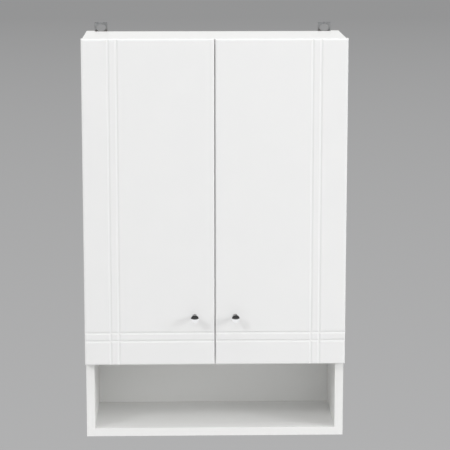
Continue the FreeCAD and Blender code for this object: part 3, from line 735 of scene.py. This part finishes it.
def floor():
    """A wide plain floor whose glow is painted light, pale in front and grey behind, still taking the
    object's shadow.
    """
    points = np.array([(-1, -1, 0), (1, -1, 0), (1, 1, 0), (-1, 1, 0)], float) * FLOOR_SIZE
    points[:, 2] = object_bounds()[0].z - FLOOR_DROP
    mesh = bpy.data.meshes.new("floor")
    mesh.from_pydata(points.tolist(), [], [(0, 1, 2, 3)])
    thing = bpy.data.objects.new("floor", mesh)
    bpy.context.scene.collection.objects.link(thing)
    finish = Finish("plain_floor", (0.80, 0.80, 0.80), 0.95, Specular_IOR_Level=0.0)
    split = finish.add("ShaderNodeSeparateXYZ")
    finish.join(finish.place, split.inputs["Vector"])
    # Painted light: the glow falls from pale in front to grey far behind, as light falls off with distance.
    back = finish.blend(finish.span(split.outputs["Y"], 0.0, 1.0, 4.0, 30.0), BACKDROP_NEAR, BACKDROP_FAR)
    tone = finish.blend(finish.span(split.outputs["Y"], 1.0, 0.0, 0.0, 4.0), back, BACKDROP_FRONT)
    glow = finish.add("ShaderNodeEmission")
    finish.join(tone, glow.inputs["Color"])
    # Mirrors see the painted glow fade away far in front of the cabinet.
    near = finish.span(split.outputs["Y"], 0.12, 1.0, -8.0, -4.0)
    mirrored = seen_ray(finish.nodes, finish.links, ("Is Glossy Ray",))
    finish.join(finish.mix_value(mirrored, 1.0, near), glow.inputs["Strength"])
    partly = finish.add("ShaderNodeMath", operation="MULTIPLY")
    finish.join(seen_ray(finish.nodes, finish.links, ("Is Camera Ray",)), partly.inputs[0])
    partly.inputs[1].default_value = FLOOR_SHADE
    share = finish.add("ShaderNodeMath", operation="MAXIMUM")
    finish.join(partly.outputs[0], share.inputs[0])
    clear = seen_ray(finish.nodes, finish.links, ("Is Glossy Ray", "Is Transmission Ray"))
    finish.join(clear, share.inputs[1])
    choose = finish.add("ShaderNodeMixShader")
    finish.join(share.outputs[0], choose.inputs["Fac"])
    finish.join(finish.shader.outputs["BSDF"], choose.inputs[1])
    finish.join(glow.outputs["Emission"], choose.inputs[2])
    finish.join(choose.outputs["Shader"], finish.nodes["Material Output"].inputs["Surface"])
    mesh.materials.append(finish.material)
    thing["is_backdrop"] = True


SKY_BACK = 0.30                             # where the floor ends, as pale as the floor there
SKY_FRONT = 0.82
MIRROR_FRONT = 0.07
MIRROR_BACK = 0.95
FILL_LEVEL = 0.61
FILL_LEAN = (0.02, -0.28, 0.0)              # more from the front
MIDDLE_POINT = (0, -0.1, -0.39)             # what the lamps point at


def world():
    """Plain pale light from all round, with the backdrop's tone where the sky is seen.

    A mirror sees a dark studio in front of the cabinet and pale light behind it.
    """
    scene_world = bpy.data.worlds.new("studio")
    scene_world.use_nodes = True
    bpy.context.scene.world = scene_world
    nodes, links = scene_world.node_tree.nodes, scene_world.node_tree.links
    fill = nodes["Background"]
    fill.inputs["Color"].default_value = (1.0, 1.0, 1.0, 1.0)
    seen = nodes.new("ShaderNodeBackground")
    seen.inputs["Color"].default_value = (1.0, 1.0, 1.0, 1.0)
    mirror = nodes.new("ShaderNodeBackground")
    direction = nodes.new("ShaderNodeTexCoord")
    split = nodes.new("ShaderNodeSeparateXYZ")
    links.new(direction.outputs["Generated"], split.inputs["Vector"])
    lean = nodes.new("ShaderNodeVectorMath")
    lean.operation = "DOT_PRODUCT"
    lean.inputs[1].default_value = FILL_LEAN
    links.new(direction.outputs["Generated"], lean.inputs[0])
    level = nodes.new("ShaderNodeMath")
    level.operation = "ADD"
    level.inputs[1].default_value = FILL_LEVEL
    links.new(lean.outputs["Value"], level.inputs[0])
    links.new(level.outputs[0], fill.inputs["Strength"])
    ramp = nodes.new("ShaderNodeMapRange")
    for socket, number in (("From Min", 0.5), ("From Max", 0.95),
                           ("To Min", MIRROR_FRONT), ("To Max", MIRROR_BACK)):
        ramp.inputs[socket].default_value = number
    links.new(split.outputs["Y"], ramp.inputs["Value"])
    turn = nodes.new("ShaderNodeMapRange")
    for socket, number in (("From Min", -0.4), ("From Max", 0.4),
                           ("To Min", SKY_FRONT), ("To Max", SKY_BACK)):
        turn.inputs[socket].default_value = number
    links.new(split.outputs["Y"], turn.inputs["Value"])
    links.new(turn.outputs["Result"], seen.inputs["Strength"])
    links.new(ramp.outputs["Result"], mirror.inputs["Strength"])
    first = nodes.new("ShaderNodeMixShader")
    links.new(seen_ray(nodes, links, ("Is Glossy Ray",)), first.inputs["Fac"])
    links.new(fill.outputs["Background"], first.inputs[1])
    links.new(mirror.outputs["Background"], first.inputs[2])
    second = nodes.new("ShaderNodeMixShader")
    links.new(seen_ray(nodes, links, ("Is Camera Ray", "Is Transmission Ray")), second.inputs["Fac"])
    links.new(first.outputs["Shader"], second.inputs[1])
    links.new(seen.outputs["Background"], second.inputs[2])
    links.new(second.outputs["Shader"], nodes["World Output"].inputs["Surface"])


def look_at(thing, target):
    """Turns a lamp or camera towards a point."""
    away = Vector(thing.location) - Vector(target)
    thing.rotation_mode = "QUATERNION"
    thing.rotation_quaternion = away.to_track_quat("Z", "Y")


def softbox(name, azimuth, elevation, distance, size, power):
    """A square lamp that mirrors don't see; azimuth and elevation are degrees right of the front and up."""
    lamp = bpy.data.lights.new(name, "AREA")
    lamp.size = size
    lamp.energy = power
    thing = bpy.data.objects.new(name, lamp)
    bpy.context.scene.collection.objects.link(thing)
    turn, rise = math.radians(azimuth), math.radians(elevation)
    way = Vector((math.sin(turn) * math.cos(rise), -math.cos(turn) * math.cos(rise), math.sin(rise)))
    thing.location = Vector(MIDDLE_POINT) + distance * way
    look_at(thing, MIDDLE_POINT)
    thing.visible_glossy = False


LENS = 148.6
CAMERA_PLACE = (-0.066, -3.70, 0.290)
CAMERA_DIP = 10.55                          # degrees below level
CAMERA_TURN = 1.40                          # degrees to the right


def camera():
    """A long lens from above and a little to the left of the doors."""
    lens = bpy.data.cameras.new("camera")
    lens.lens = LENS
    lens.clip_end = 300
    thing = bpy.data.objects.new("camera", lens)
    bpy.context.scene.collection.objects.link(thing)
    thing.location = CAMERA_PLACE
    thing.rotation_euler = (math.radians(90 - CAMERA_DIP), 0, -math.radians(CAMERA_TURN))
    bpy.context.scene.camera = thing


floor()
world()
for name, azimuth, elevation, distance, size, power in (
        ("softbox_left", -46, 32, 4.4, 0.8, 36),
        ("softbox_right", 62, 16, 3.2, 1.2, 34),
        ("softbox_top", 0, 80, 3.0, 1.5, 30)):
    softbox(name, azimuth, elevation, distance, size, power)
camera()
bpy.context.scene.view_settings.view_transform = "Standard"
